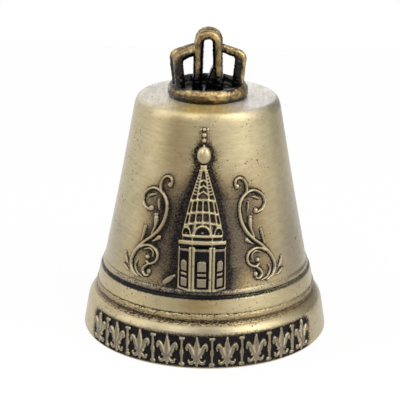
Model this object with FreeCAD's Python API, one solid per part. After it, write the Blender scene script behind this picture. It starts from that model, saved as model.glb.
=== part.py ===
"""Small cast brass church bell: a conical shell with two moulding beads and a flared lip, a separate
crown casting with a hanging loop and two channelled ears, and a clapper on a jump ring inside.

The crown sits on the shell's flat top. A spigot under it centres in the shell's hole, and an eye bolt
from inside screws into the spigot and is locked with a washer and a hexagon nut. A jump ring hangs in
the eye bolt, and the clapper hangs in the jump ring.

Frame: +Z up, origin at the centre of the mouth's resting plane, the bell's front towards -Y.
All sizes are in millimetres.
"""
import FreeCAD, Part
import math
import os

V = FreeCAD.Vector

# --- shell: overall sizes ---
MOUTH_RADIUS = 25.0
SHELL_HEIGHT = 48.6
SHOULDER_RADIUS = 14.25        # where the waist's line meets the top face
SHOULDER_ROUND = 1.2
CEILING_ROUND = 2.4
WAIST_HOLLOW = 0.14            # the waist curves in this far between its ends

# --- straight runs that each turned curve is drawn with, so that the solids stay light ---
WAIST_RUNS = 2
SHOULDER_RUNS = 3
LIP_RUNS = 3
BEAD_RUNS = 3
SMALL_RUNS = 2
EDGE_RUNS = 1
WIRE_FLATS = 8                 # round a ring's wire

# --- shell: walls ---
WAIST_WALL = 2.0
PLATE_WALL = 2.4
LIP_WALL = 3.0                 # at the mouth
BOW_WALL = 2.9                 # at the top of the lip's face, where the clapper strikes

# --- shell: lip ---
MOUTH_EDGE_ROUND = 0.4
LIP_FACE_HEIGHT = 6.0          # the flared face, which carries the frieze
LIP_FLARE = 1.0                # how far the face runs out on its way down to the mouth
LIP_CROWN_HEIGHT = 2.45        # the rounded top of the lip above its face
LIP_STEP = 1.85                # how far that rounded top runs in
LIP_CROWN_BULGE = 0.38

# --- shell: mouldings, from the lip up to the waist ---
COVE_HEIGHT = 0.7
COVE_DEPTH = 0.15
BEAD_HEIGHT = 1.2
BEAD_LEAN = 0.25               # a bead's top edge stands this much further in than its foot
BEAD_PROUD = 0.26
NOTCH = 0.2                    # sharp line cut above the lower bead and below the upper one
BAND_HEIGHT = 2.85             # smooth band between the two beads
BAND_FLARE = 0.62
BAND_EDGE_ROUND = 0.3
BAND_STEP = 0.5                # the band's top edge stands this far outside the upper bead

# --- crown: base dish ---
RIM_RADIUS = 8.05              # at the widest part of the convex rim
RIM_HEIGHT = 2.45
RIM_TOP_RADIUS = 7.5
RIM_FOOT_RADIUS = 7.75
RIM_BELLY_HEIGHT = 1.05        # the rim is widest here
RIM_WALL = 0.75                # at the rim's top edge
RIM_CROWN = 0.2                # the top edge's rounding stands up this far
RIM_SLOPE = 0.3                # the rim's inside leans in this far on its way down
DISH_FLOOR = 0.9
SPIGOT_RADIUS = 3.0
SPIGOT_CLEARANCE = 0.08        # radial, in the shell's hole
SPIGOT_SHORT = 0.25            # the spigot ends this far short of the ceiling
CAP_OVER_THREAD = 0.5          # metal left above the tapped hole

# --- crown: hanging loop, two bent rods side by side with a web between them ---
LOOP_RISE = 12.55              # above the dish floor
LOOP_WIDTH = 5.45              # over the posts, at the spring of the arch
LOOP_FOOT_SPREAD = 0.35        # each post's foot stands this much further out
LOOP_ROD_RADIUS = 0.85
LOOP_DEPTH = 4.9               # front to back, over the rods
LOOP_WEB_OUT = 0.35            # web outside the rods' middle
LOOP_WEB_IN = 1.05             # web inside the rods' middle

# --- crown: ears, made like the loop with their two rods spread in plan ---
EAR_SWEEP_DEG = 17.0           # each ear points this far forward of straight sideways
EAR_SPREAD_DEG = 26.0          # between an ear's two rods
EAR_INNER_RISE = 9.9           # the ear's top edge where it leaves the loop, above the dish floor
EAR_SHOULDER_RISE = 8.3        # the ear's top edge at its shoulder
EAR_REACH = 7.75               # the shoulder's outer edge, from the bell's axis
EAR_FOOT_REACH = 6.9
EAR_ROD_RADIUS = 0.88
EAR_WEB_OUT = 0.35
EAR_WEB_IN = 1.25
EAR_BEND = 1.1                 # bend at the shoulder, to the rods' middle
FOOT_RADIUS = 1.25             # each rod's flared foot on the dish floor
FOOT_HEIGHT = 1.1
ARCH_ROUNDNESS = 0.96          # of a full half-circle at the top of the loop
MIN_INNER_BEND = 0.25

# --- eye bolt, washer, nut ---
THREAD_RADIUS = 1.5
BOLT_PLAY = 0.1                # radial, washer on the bolt
WASHER_RADIUS = 4.5
WASHER_THICKNESS = 0.8
NUT_ACROSS_FLATS = 5.5
NUT_HEIGHT = 2.4
NUT_CHAMFER = 0.35
BOLT_BELOW_NUT = 0.6
EYE_RADIUS = 2.5               # to the middle of the eye's wire
EYE_WIRE_RADIUS = 0.8
HANG_CLEARANCE = 0.05          # between two wires that hang in each other

# --- jump ring ---
RING_RADIUS = 2.3
RING_WIRE_RADIUS = 0.5
RING_SLIT = 0.12

# --- clapper ---
CLAPPER_EYE_RADIUS = 1.7
CLAPPER_WIRE_RADIUS = 0.6
CLAPPER_ROD_RADIUS = 1.1
CLAPPER_NECK = 2.0             # taper between the clapper's eye and its rod
CLAPPER_NECK_RADIUS = 0.48     # where the neck meets the eye
BALL_RADIUS = 4.6
BALL_FLAT = 0.35               # cut off the ball at each end of its bore
TAIL_LENGTH = 1.5              # rod end below the ball, headed over to hold it
TAIL_HEAD_RADIUS = 1.7
TAIL_ABOVE_MOUTH = 1.6

# --- worked out from the above ---
LIP_HEIGHT = LIP_FACE_HEIGHT + LIP_CROWN_HEIGHT
LIP_FACE_TOP_RADIUS = MOUTH_RADIUS - LIP_FLARE
LIP_ROOT_RADIUS = LIP_FACE_TOP_RADIUS - LIP_STEP
BAND_FOOT_Z = LIP_HEIGHT + COVE_HEIGHT + BEAD_HEIGHT + NOTCH
BAND_FOOT_RADIUS = LIP_ROOT_RADIUS - BEAD_LEAN + NOTCH / 2
BAND_TOP_Z = BAND_FOOT_Z + BAND_HEIGHT
UPPER_BEAD_Z = BAND_TOP_Z + NOTCH
UPPER_BEAD_RADIUS = BAND_FOOT_RADIUS - BAND_FLARE - BAND_STEP
WAIST_FOOT_Z = UPPER_BEAD_Z + BEAD_HEIGHT
WAIST_FOOT_RADIUS = UPPER_BEAD_RADIUS - BEAD_LEAN
CEILING_Z = SHELL_HEIGHT - PLATE_WALL
SPIGOT_HOLE_RADIUS = SPIGOT_RADIUS + SPIGOT_CLEARANCE
DISH_Z = SHELL_HEIGHT + DISH_FLOOR
NUT_BOTTOM_Z = CEILING_Z - WASHER_THICKNESS - NUT_HEIGHT
EYE_Z = NUT_BOTTOM_Z - BOLT_BELOW_NUT - EYE_RADIUS - EYE_WIRE_RADIUS
EYE_PIVOT_Z = EYE_Z - EYE_RADIUS
RING_Z = EYE_PIVOT_Z + EYE_WIRE_RADIUS + HANG_CLEARANCE + RING_WIRE_RADIUS - RING_RADIUS
RING_PIVOT_Z = RING_Z - RING_RADIUS
CLAPPER_EYE_Z = (RING_PIVOT_Z + RING_WIRE_RADIUS + HANG_CLEARANCE + CLAPPER_WIRE_RADIUS
                 - CLAPPER_EYE_RADIUS)
BALL_Z = TAIL_ABOVE_MOUTH + TAIL_LENGTH + BALL_RADIUS - BALL_FLAT


# --- drawing helpers: an outline is drawn in the X-Z plane as (radius or x, z) ---
def point(p):
    return V(p[0], 0, p[1])


def arc(a, b, height):
    """Arc from a to b whose middle stands off the chord by height, to the left of the way from a to b."""
    dx, dz = b[0] - a[0], b[1] - a[1]
    length = math.hypot(dx, dz)
    middle = ((a[0] + b[0]) / 2 - dz / length * height, (a[1] + b[1]) / 2 + dx / length * height)
    return Part.Arc(point(a), point(middle), point(b)).toShape()


def runs(curve, count):
    """Points that follow a curve in this many straight runs, its start among them but not its end."""
    return [(p.x, p.z) for p in curve.discretize(count + 1)[:-1]]


def eased(before, corner, after, radius, count):
    """Points round a corner between two straight lines, rounded by this radius."""
    here = point(corner)
    back = (point(before) - here).normalize()
    on = (point(after) - here).normalize()
    half = back.getAngle(on) / 2
    run = radius / math.tan(half)
    middle = here + (back + on).normalize() * (radius / math.sin(half) - radius)
    end = here + on * run
    return runs(Part.Arc(here + back * run, middle, end).toShape(), count) + [(end.x, end.z)]


def rounded(corners):
    """Closed face from (x, z, round) corners, each corner rounded by its own radius, 0 for sharp."""
    count = len(corners)
    starts, ends, arcs = [], [], []
    for i, (x, z, r) in enumerate(corners):
        here = V(x, 0, z)
        back = (V(corners[i - 1][0], 0, corners[i - 1][1]) - here).normalize()
        on = (V(corners[(i + 1) % count][0], 0, corners[(i + 1) % count][1]) - here).normalize()
        if r <= 0:
            starts.append(here)
            ends.append(here)
            arcs.append(None)
            continue
        half = back.getAngle(on) / 2
        run = r / math.tan(half)
        inward = (back + on).normalize()
        middle = here + inward * (r / math.sin(half) - r)
        starts.append(here + back * run)
        ends.append(here + on * run)
        arcs.append(Part.Arc(starts[-1], middle, ends[-1]).toShape())
    edges = []
    for i in range(count):
        if arcs[i]:
            edges.append(arcs[i])
        edges.append(Part.LineSegment(ends[i], starts[(i + 1) % count]).toShape())
    return Part.Face(Part.Wire(edges))


def turned(outline):
    """Solid of revolution about the bell's axis, from the (radius, z) corners of its closed outline."""
    corners = [point(p) for p in outline]
    face = Part.Face(Part.makePolygon(corners + corners[:1]))
    return face.revolve(V(0, 0, 0), V(0, 0, 1), 360)


def slab(face, depth):
    """A face drawn in X-Z, made this thick, half each side of its plane."""
    moved = face.copy()
    moved.translate(V(0, -depth / 2, 0))
    return moved.extrude(V(0, depth, 0))


def wire_eye(radius, wire, z, hole_along):
    """Closed eye of wire about (0, 0, z), a corner of the wire's section at its inside."""
    ring = [V(radius - wire * math.cos(a), 0, wire * math.sin(a))
            for a in (2 * math.pi * i / WIRE_FLATS for i in range(WIRE_FLATS + 1))]
    eye = Part.Face(Part.makePolygon(ring)).revolve(V(0, 0, 0), V(0, 0, 1), 360)
    eye.rotate(V(0, 0, 0), V(0, 0, 1).cross(hole_along), 90)
    eye.translate(V(0, 0, z))
    return eye


# --- bell_shell ---
def bead(foot):
    """Points of a half-round bead, from its top edge down to its foot."""
    top = (foot[0] - BEAD_LEAN, foot[1] + BEAD_HEIGHT)
    return runs(arc(top, foot, BEAD_PROUD), BEAD_RUNS) + [foot]


def outside(shoulder_from):
    """The shell's outside, from its shoulder down to the resting ring at the mouth."""
    shoulder = (SHOULDER_RADIUS, SHELL_HEIGHT)
    waist_foot = (WAIST_FOOT_RADIUS, WAIST_FOOT_Z)
    band_inner_top = (UPPER_BEAD_RADIUS, BAND_TOP_Z)
    band_top = (UPPER_BEAD_RADIUS + BAND_STEP, BAND_TOP_Z)
    band_foot = (BAND_FOOT_RADIUS, BAND_FOOT_Z)
    lower_bead_foot = (LIP_ROOT_RADIUS, LIP_HEIGHT + COVE_HEIGHT)
    lip_root = (LIP_ROOT_RADIUS, LIP_HEIGHT)
    face_top = (LIP_FACE_TOP_RADIUS, LIP_FACE_HEIGHT)
    mouth = (MOUTH_RADIUS, 0)
    corner = eased(shoulder_from, shoulder, waist_foot, SHOULDER_ROUND, SHOULDER_RUNS)
    return [
        *corner,
        *runs(arc(corner[-1], waist_foot, -WAIST_HOLLOW), WAIST_RUNS)[1:],
        *bead((UPPER_BEAD_RADIUS, UPPER_BEAD_Z)),
        band_inner_top,
        *eased(band_inner_top, band_top, band_foot, BAND_EDGE_ROUND, EDGE_RUNS),
        band_foot,
        *bead(lower_bead_foot),
        *runs(arc(lower_bead_foot, lip_root, -COVE_DEPTH), SMALL_RUNS)[1:],
        *runs(arc(lip_root, face_top, LIP_CROWN_BULGE), LIP_RUNS),
        face_top,
        *eased(face_top, mouth, (0, 0), MOUTH_EDGE_ROUND, EDGE_RUNS),
    ]


def inside():
    """The shell's inside, from the resting ring up to the ceiling."""
    mouth = (MOUTH_RADIUS - LIP_WALL, 0)
    bow = (LIP_FACE_TOP_RADIUS - BOW_WALL, LIP_FACE_HEIGHT)
    waist_foot = (WAIST_FOOT_RADIUS - WAIST_WALL, WAIST_FOOT_Z)
    slope = (WAIST_FOOT_RADIUS - SHOULDER_RADIUS) / (SHELL_HEIGHT - WAIST_FOOT_Z)
    top = (waist_foot[0] - slope * (CEILING_Z - WAIST_FOOT_Z), CEILING_Z)
    hole = (SPIGOT_HOLE_RADIUS, CEILING_Z)
    sweep = Part.Arc(point(mouth), point(bow), point(waist_foot)).toShape()
    lip = runs(sweep, LIP_RUNS) + [waist_foot]
    corner = eased(waist_foot, top, hole, CEILING_ROUND, SMALL_RUNS)
    return [
        *eased((MOUTH_RADIUS, 0), mouth, lip[1], MOUTH_EDGE_ROUND, EDGE_RUNS),
        *lip[1:],
        *corner,
        hole,
    ]


def bell_shell():
    hole_top = (SPIGOT_HOLE_RADIUS, SHELL_HEIGHT)
    return turned([hole_top, *outside(hole_top), *inside()])


# --- crown ---
def crown_dish():
    """Dish with a convex rim, and the spigot below it with its tapped hole."""
    z = SHELL_HEIGHT
    top = z + RIM_HEIGHT
    rim_inside = RIM_TOP_RADIUS - RIM_WALL
    spigot_foot = CEILING_Z + SPIGOT_SHORT
    thread_end = DISH_Z - CAP_OVER_THREAD
    rim = Part.Arc(point((RIM_FOOT_RADIUS, z)), point((RIM_RADIUS, z + RIM_BELLY_HEIGHT)),
                   point((RIM_TOP_RADIUS, top))).toShape()
    return turned([
        (THREAD_RADIUS, spigot_foot),
        (SPIGOT_RADIUS, spigot_foot),
        (SPIGOT_RADIUS, z),
        *runs(rim, LIP_RUNS),
        *runs(arc((RIM_TOP_RADIUS, top), (rim_inside, top), -RIM_CROWN), SMALL_RUNS),
        (rim_inside, top),
        (rim_inside - RIM_SLOPE, DISH_Z),
        (0, DISH_Z),
        (0, thread_end),
        (THREAD_RADIUS, thread_end),
    ])


def bent_path(corners, bend, y):
    """Open path through (x, z) corners in the plane at y, with each inner corner rounded by bend."""
    at = [V(x, y, z) for x, z in corners]
    edges = []
    start = at[0]
    for before, corner, after in zip(at, at[1:], at[2:]):
        back = (before - corner).normalize()
        on = (after - corner).normalize()
        half = back.getAngle(on) / 2
        run = bend / math.tan(half)
        middle = corner + (back + on).normalize() * (bend / math.sin(half) - bend)
        edges.append(Part.LineSegment(start, corner + back * run).toShape())
        edges.append(Part.Arc(corner + back * run, middle, corner + on * run).toShape())
        start = corner + on * run
    edges.append(Part.LineSegment(start, at[-1]).toShape())
    return Part.Wire(edges)


def bent_rod(corners, bend, y, radius):
    path = bent_path(corners, bend, y)
    start = V(corners[0][0], y, corners[0][1])
    section = Part.Wire(Part.makeCircle(radius, start, path.Edges[0].tangentAt(0)))
    return path.makePipeShell([section], True, True)


def shifted(corners, distance):
    """An open outline moved sideways, to the left of its way when distance is above 0."""
    ways = []
    for a, b in zip(corners, corners[1:]):
        length = math.hypot(b[0] - a[0], b[1] - a[1])
        ways.append(((b[0] - a[0]) / length, (b[1] - a[1]) / length))
    moved = []
    for i, (x, z) in enumerate(corners):
        before, after = ways[max(i - 1, 0)], ways[min(i, len(ways) - 1)]
        across = (-before[1] - after[1], before[0] + after[0])
        scale = 2 * distance / (across[0] ** 2 + across[1] ** 2)
        moved.append((x + across[0] * scale, z + across[1] * scale))
    return moved


def strip(corners, bend, left, right):
    """Face of a flat strip along a path, reaching left and right of it, its bends rounded to match."""
    ends = (0, len(corners) - 1)
    left_side = [(x, z, 0 if i in ends else bend + left)
                 for i, (x, z) in enumerate(shifted(corners, left))]
    right_side = [(x, z, 0 if i in ends else max(bend - right, MIN_INNER_BEND))
                  for i, (x, z) in enumerate(shifted(corners, -right))]
    return rounded(left_side + right_side[::-1])


def flared_foot(x, y):
    return Part.makeCone(FOOT_RADIUS, EAR_ROD_RADIUS / 2, FOOT_HEIGHT, V(x, y, DISH_Z))


def hanging_loop():
    """Upright loop facing front, as the pieces to fuse."""
    foot_z = DISH_Z - DISH_FLOOR / 2
    top = DISH_Z + LOOP_RISE - LOOP_ROD_RADIUS
    half = LOOP_WIDTH / 2 - LOOP_ROD_RADIUS
    foot = half + LOOP_FOOT_SPREAD
    corners = [(-foot, foot_z), (-half, top), (half, top), (foot, foot_z)]
    bend = half * ARCH_ROUNDNESS
    y = LOOP_DEPTH / 2 - LOOP_ROD_RADIUS
    pieces = [slab(strip(corners, bend, LOOP_WEB_OUT, LOOP_WEB_IN), 2 * y)]
    for side in (-1, 1):
        pieces.append(bent_rod(corners, bend, side * y, LOOP_ROD_RADIUS))
        pieces += [flared_foot(x * foot, side * y) for x in (-1, 1)]
    return pieces


def ear(side):
    """One ear, from the loop's flank over a shoulder and down to the dish, as the pieces to fuse."""
    foot_z = DISH_Z - DISH_FLOOR / 2
    root = LOOP_WIDTH / 2 - LOOP_ROD_RADIUS
    foot = EAR_FOOT_REACH - EAR_ROD_RADIUS
    corners = [
        (root, DISH_Z + EAR_INNER_RISE - EAR_ROD_RADIUS),
        (EAR_REACH - EAR_ROD_RADIUS, DISH_Z + EAR_SHOULDER_RISE - EAR_ROD_RADIUS),
        (foot, foot_z),
    ]
    middle = -EAR_SWEEP_DEG if side > 0 else 180 + EAR_SWEEP_DEG
    axis = V(0, 0, 1)
    web = strip(corners, EAR_BEND, EAR_WEB_OUT, EAR_WEB_IN)
    web.rotate(V(0, 0, 0), axis, middle - EAR_SPREAD_DEG / 2)
    pieces = [web.revolve(V(0, 0, 0), axis, EAR_SPREAD_DEG)]
    for turn in (-EAR_SPREAD_DEG / 2, EAR_SPREAD_DEG / 2):
        rod = bent_rod(corners, EAR_BEND, 0, EAR_ROD_RADIUS)
        rod.rotate(V(0, 0, 0), axis, middle + turn)
        pieces.append(rod)
    return pieces


def crown():
    """Crown casting. The ears' roots end inside the loop's posts and leave its opening clear."""
    pieces = hanging_loop() + ear(-1) + ear(1)
    return crown_dish().fuse(pieces).removeSplitter()


# --- hardware inside the shell ---
def washer():
    disc = Part.makeCylinder(WASHER_RADIUS, WASHER_THICKNESS, V(0, 0, CEILING_Z - WASHER_THICKNESS))
    hole = Part.makeCylinder(THREAD_RADIUS + BOLT_PLAY, WASHER_THICKNESS * 3,
                             V(0, 0, CEILING_Z - WASHER_THICKNESS * 2))
    return disc.cut(hole)


def lock_nut():
    """Hexagon nut, both faces chamfered at the corners, its thread drawn at the bolt's size."""
    corner = NUT_ACROSS_FLATS / 2 / math.cos(math.pi / 6)
    ring = [V(corner * math.cos(a), corner * math.sin(a), NUT_BOTTOM_Z)
            for a in (math.pi / 3 * i for i in range(7))]
    hexagon = Part.Face(Part.makePolygon(ring)).extrude(V(0, 0, NUT_HEIGHT))
    flat = NUT_ACROSS_FLATS / 2
    top = NUT_BOTTOM_Z + NUT_HEIGHT
    chamfer = turned([
        (0, NUT_BOTTOM_Z),
        (flat, NUT_BOTTOM_Z),
        (corner, NUT_BOTTOM_Z + NUT_CHAMFER),
        (corner, top - NUT_CHAMFER),
        (flat, top),
        (0, top),
    ])
    bore = Part.makeCylinder(THREAD_RADIUS, NUT_HEIGHT * 2, V(0, 0, NUT_BOTTOM_Z - NUT_HEIGHT / 2))
    return hexagon.common(chamfer).cut(bore)


def eye_bolt():
    """Threaded shank into the crown's spigot, with a cast eye below for the jump ring."""
    shank_foot = EYE_Z + EYE_RADIUS
    shank_top = DISH_Z - CAP_OVER_THREAD
    shank = Part.makeCylinder(THREAD_RADIUS, shank_top - shank_foot, V(0, 0, shank_foot))
    eye = wire_eye(EYE_RADIUS, EYE_WIRE_RADIUS, EYE_Z, V(0, 1, 0))
    return shank.fuse(eye).removeSplitter()


def jump_ring():
    ring = wire_eye(RING_RADIUS, RING_WIRE_RADIUS, RING_Z, V(1, 0, 0))
    reach = RING_WIRE_RADIUS * 4
    slit = Part.makeBox(reach, reach, RING_SLIT)
    slit.translate(V(-reach / 2, RING_RADIUS - reach / 2, RING_Z - RING_SLIT / 2))
    return ring.cut(slit)


# --- clapper ---
def clapper_rod():
    """Eye, tapered neck, rod through the ball, and a headed tail that holds the ball on."""
    eye = wire_eye(CLAPPER_EYE_RADIUS, CLAPPER_WIRE_RADIUS, CLAPPER_EYE_Z, V(0, 1, 0))
    neck_top = CLAPPER_EYE_Z - CLAPPER_EYE_RADIUS
    neck_foot = neck_top - CLAPPER_NECK
    ball_foot = BALL_Z - BALL_RADIUS + BALL_FLAT
    tail = (0, TAIL_ABOVE_MOUTH)
    head = arc((-TAIL_HEAD_RADIUS, ball_foot), (TAIL_HEAD_RADIUS, ball_foot), -TAIL_LENGTH)
    stem = turned([
        (0, neck_top),
        (CLAPPER_NECK_RADIUS, neck_top),
        (CLAPPER_ROD_RADIUS, neck_foot),
        (CLAPPER_ROD_RADIUS, ball_foot),
        *reversed(runs(head, 2 * SHOULDER_RUNS)[SHOULDER_RUNS + 1:]),
        tail,
    ])
    return eye.fuse(stem).removeSplitter()


def clapper_ball():
    ball = Part.makeSphere(BALL_RADIUS, V(0, 0, BALL_Z))
    band = Part.makeCylinder(BALL_RADIUS * 2, 2 * (BALL_RADIUS - BALL_FLAT),
                             V(0, 0, BALL_Z - BALL_RADIUS + BALL_FLAT))
    bore = Part.makeCylinder(CLAPPER_ROD_RADIUS, BALL_RADIUS * 4, V(0, 0, BALL_Z - BALL_RADIUS * 2))
    return ball.common(band).cut(bore)


PIECES = {
    "bell_shell": bell_shell,
    "crown": crown,
    "washer": washer,
    "lock_nut": lock_nut,
    "eye_bolt": eye_bolt,
    "jump_ring": jump_ring,
    "clapper_rod": clapper_rod,
    "clapper_ball": clapper_ball,
}

os.makedirs("parts", exist_ok=True)
for name, make in PIECES.items():
    shape = make()
    print(f"{name}: valid {shape.isValid()}, solids {len(shape.Solids)}, volume {shape.Volume:.1f} mm3")
    shape.exportStep(f"parts/{name}.step")
print(f"eye pivot z {EYE_PIVOT_Z:.3f}, ring pivot z {RING_PIVOT_Z:.3f}, ball z {BALL_Z:.3f}")
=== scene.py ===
"""Looks of a small cast church bell: its relief and frieze, finishes, floor, light and camera.

The shell and the crown are modelled again here at their CAD size, the shell with its cast relief and the
crown with a rough cast skin. Lengths are in millimetres until a mesh is made, and MM turns them to metres.
Angles round the bell are in units of which UNITS_ROUND make a turn, from the front line to the right.
On the shell, u is the distance round the wall from the front line, to the right, and z the height.
"""
import math

import bpy
import numpy as np
from mathutils import Matrix, Vector


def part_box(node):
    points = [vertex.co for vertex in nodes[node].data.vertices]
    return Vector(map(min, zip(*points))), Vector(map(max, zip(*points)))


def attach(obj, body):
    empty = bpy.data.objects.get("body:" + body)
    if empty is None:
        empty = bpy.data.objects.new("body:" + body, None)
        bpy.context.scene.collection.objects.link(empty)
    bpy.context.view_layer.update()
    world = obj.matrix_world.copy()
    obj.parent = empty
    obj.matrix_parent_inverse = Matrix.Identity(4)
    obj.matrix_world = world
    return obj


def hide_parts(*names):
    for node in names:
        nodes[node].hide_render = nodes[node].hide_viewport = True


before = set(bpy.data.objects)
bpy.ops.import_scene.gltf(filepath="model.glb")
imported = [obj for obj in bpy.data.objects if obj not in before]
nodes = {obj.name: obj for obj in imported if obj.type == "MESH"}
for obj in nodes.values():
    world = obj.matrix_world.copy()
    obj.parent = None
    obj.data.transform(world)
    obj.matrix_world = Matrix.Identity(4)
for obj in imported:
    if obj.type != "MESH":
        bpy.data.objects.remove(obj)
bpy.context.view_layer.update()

MM = 0.001
LOWEST, HIGHEST = (np.array(corner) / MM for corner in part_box("bell_shell"))
REACH = min(*-LOWEST[:2], *HIGHEST[:2])    # the CAD shell's box, from the axis out
TOP_Z = HIGHEST[2]
UNITS_ROUND = 960                  # columns of the finest grid, all round the bell
PLAIN_STEP = 8                     # units between columns where the wall is plain
BACK_STEP = 16                     # and behind the relief
FRIEZE_REACH = 192                 # units each side of the front with fine columns
RELIEF_REACH = 144
ROW_STEP = 0.13                    # between the rows of a relief


# ---------------------------------------------------------------- helpers

def new_object(name, mesh):
    piece = bpy.data.objects.new(name, mesh)
    bpy.context.collection.objects.link(piece)
    return piece


def ramp(x, soft=0.14):
    """0 outside, 1 inside, across an edge this soft, where x is the distance inside the edge."""
    return np.clip(x / soft + 0.5, 0, 1)


def bell_curve(x, middle, width):
    return np.exp(-((x - middle) / width) ** 2)


def radians_of(units):
    return np.array(units) * (2 * math.pi / UNITS_ROUND)


def smooth_path(points, step=0.12):
    """Points close together along a smooth curve through (u, z, half_width) points."""
    p = np.array(points, float)
    p = np.vstack([2 * p[0] - p[1], p, 2 * p[-1] - p[-2]])
    out = []
    for a, b, c, d in zip(p, p[1:], p[2:], p[3:]):
        n = max(2, int(math.dist(b[:2], c[:2]) / step))
        t = np.linspace(0, 1, n, endpoint=False)[:, None]
        out.append(0.5 * (2 * b + (c - a) * t + (2 * a - 5 * b + 4 * c - d) * t ** 2
                          + (3 * b - a - 3 * c + d) * t ** 3))
    out.append(p[-2][None])
    return np.vstack(out)


def blurred(values, sigma_rows, sigma_columns):
    """Gaussian blur of a grid, edges held."""
    for axis, sigma in ((0, sigma_rows), (1, sigma_columns)):
        reach = int(3 * sigma) + 1
        kernel = np.exp(-0.5 * (np.arange(-reach, reach + 1) / sigma) ** 2)
        kernel /= kernel.sum()
        pad = [(reach, reach) if a == axis else (0, 0) for a in (0, 1)]
        padded = np.pad(values, pad, mode="edge")
        values = np.apply_along_axis(lambda line: np.convolve(line, kernel, "valid"), axis, padded)
    return values


# ---------------------------------------------------------------- relief: a grid of heights on the wall

class Grid:
    """Heights above a stretch of the wall, in rows of z and columns of azimuth."""

    def __init__(self, z, radius, reach):
        self.z = z
        self.radius = radius
        self.units = np.arange(-reach, reach + 1)
        angle = radians_of(self.units)
        self.U = radius[:, None] * angle[None]
        self.Z = np.repeat(z[:, None], len(angle), 1)
        self.H = np.zeros_like(self.U)
        self.dark = np.zeros_like(self.U)          # recesses that hold patina
        self.bright = np.zeros_like(self.U)        # ridges that are rubbed bright

    def stroke(self, points, height, full=0.55):
        """A rounded stroke along a smooth curve through (u, z, half_width) points.

        Its section is flatter on top and steeper at the sides, the less full is.
        """
        path = smooth_path(points)
        reach = path[:, 2].max() + 0.1
        near = ((self.U > path[:, 0].min() - reach) & (self.U < path[:, 0].max() + reach)
                & (self.Z > path[:, 1].min() - reach) & (self.Z < path[:, 1].max() + reach))
        at = np.stack([self.U[near], self.Z[near]], 1)
        least = np.full(len(at), 9.0)
        for a, b in zip(path, path[1:]):
            way = b[:2] - a[:2]
            along = np.clip((at - a[:2]) @ way / max(way @ way, 1e-9), 0, 1)
            gap = np.linalg.norm(at - a[:2] - along[:, None] * way, axis=1)
            least = np.minimum(least, gap / (a[2] + (b[2] - a[2]) * along))
        shape = height * np.clip(1 - least ** 2, 0, 1) ** full
        self.H[near] = np.maximum(self.H[near], shape)

    def both(self, points, height, full=0.55):
        """A stroke and its mirror image across the front line."""
        self.stroke(points, height, full)
        self.stroke([(-u, z, w) for u, z, w in points], height, full)

    def blob(self, u, z, wide, high, height):
        """A rounded boss."""
        far = ((self.U - u) / wide) ** 2 + ((self.Z - z) / high) ** 2
        self.H = np.maximum(self.H, height * np.sqrt(np.clip(1 - far, 0, 1)))

    def both_blobs(self, u, z, wide, high, height):
        self.blob(u, z, wide, high, height)
        self.blob(-u, z, wide, high, height)

    def blurred(self, values, up, across, at_radius):
        """Values blurred by so many millimetres, with the columns as wide as they are at a radius."""
        return blurred(values, up / ROW_STEP, across / (at_radius * radians_of(1)))

    def row(self, values, columns):
        """A row's values on a ring's columns, and 0 where the grid doesn't reach."""
        reach = self.units[-1]
        u = np.array(columns)
        return np.where(np.abs(u) <= reach, values[np.clip(u + reach, 0, 2 * reach)], 0.0)


SCROLL_HEIGHT = 0.6
STEM = 0.27                        # half width of a scroll's plain stroke


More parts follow.
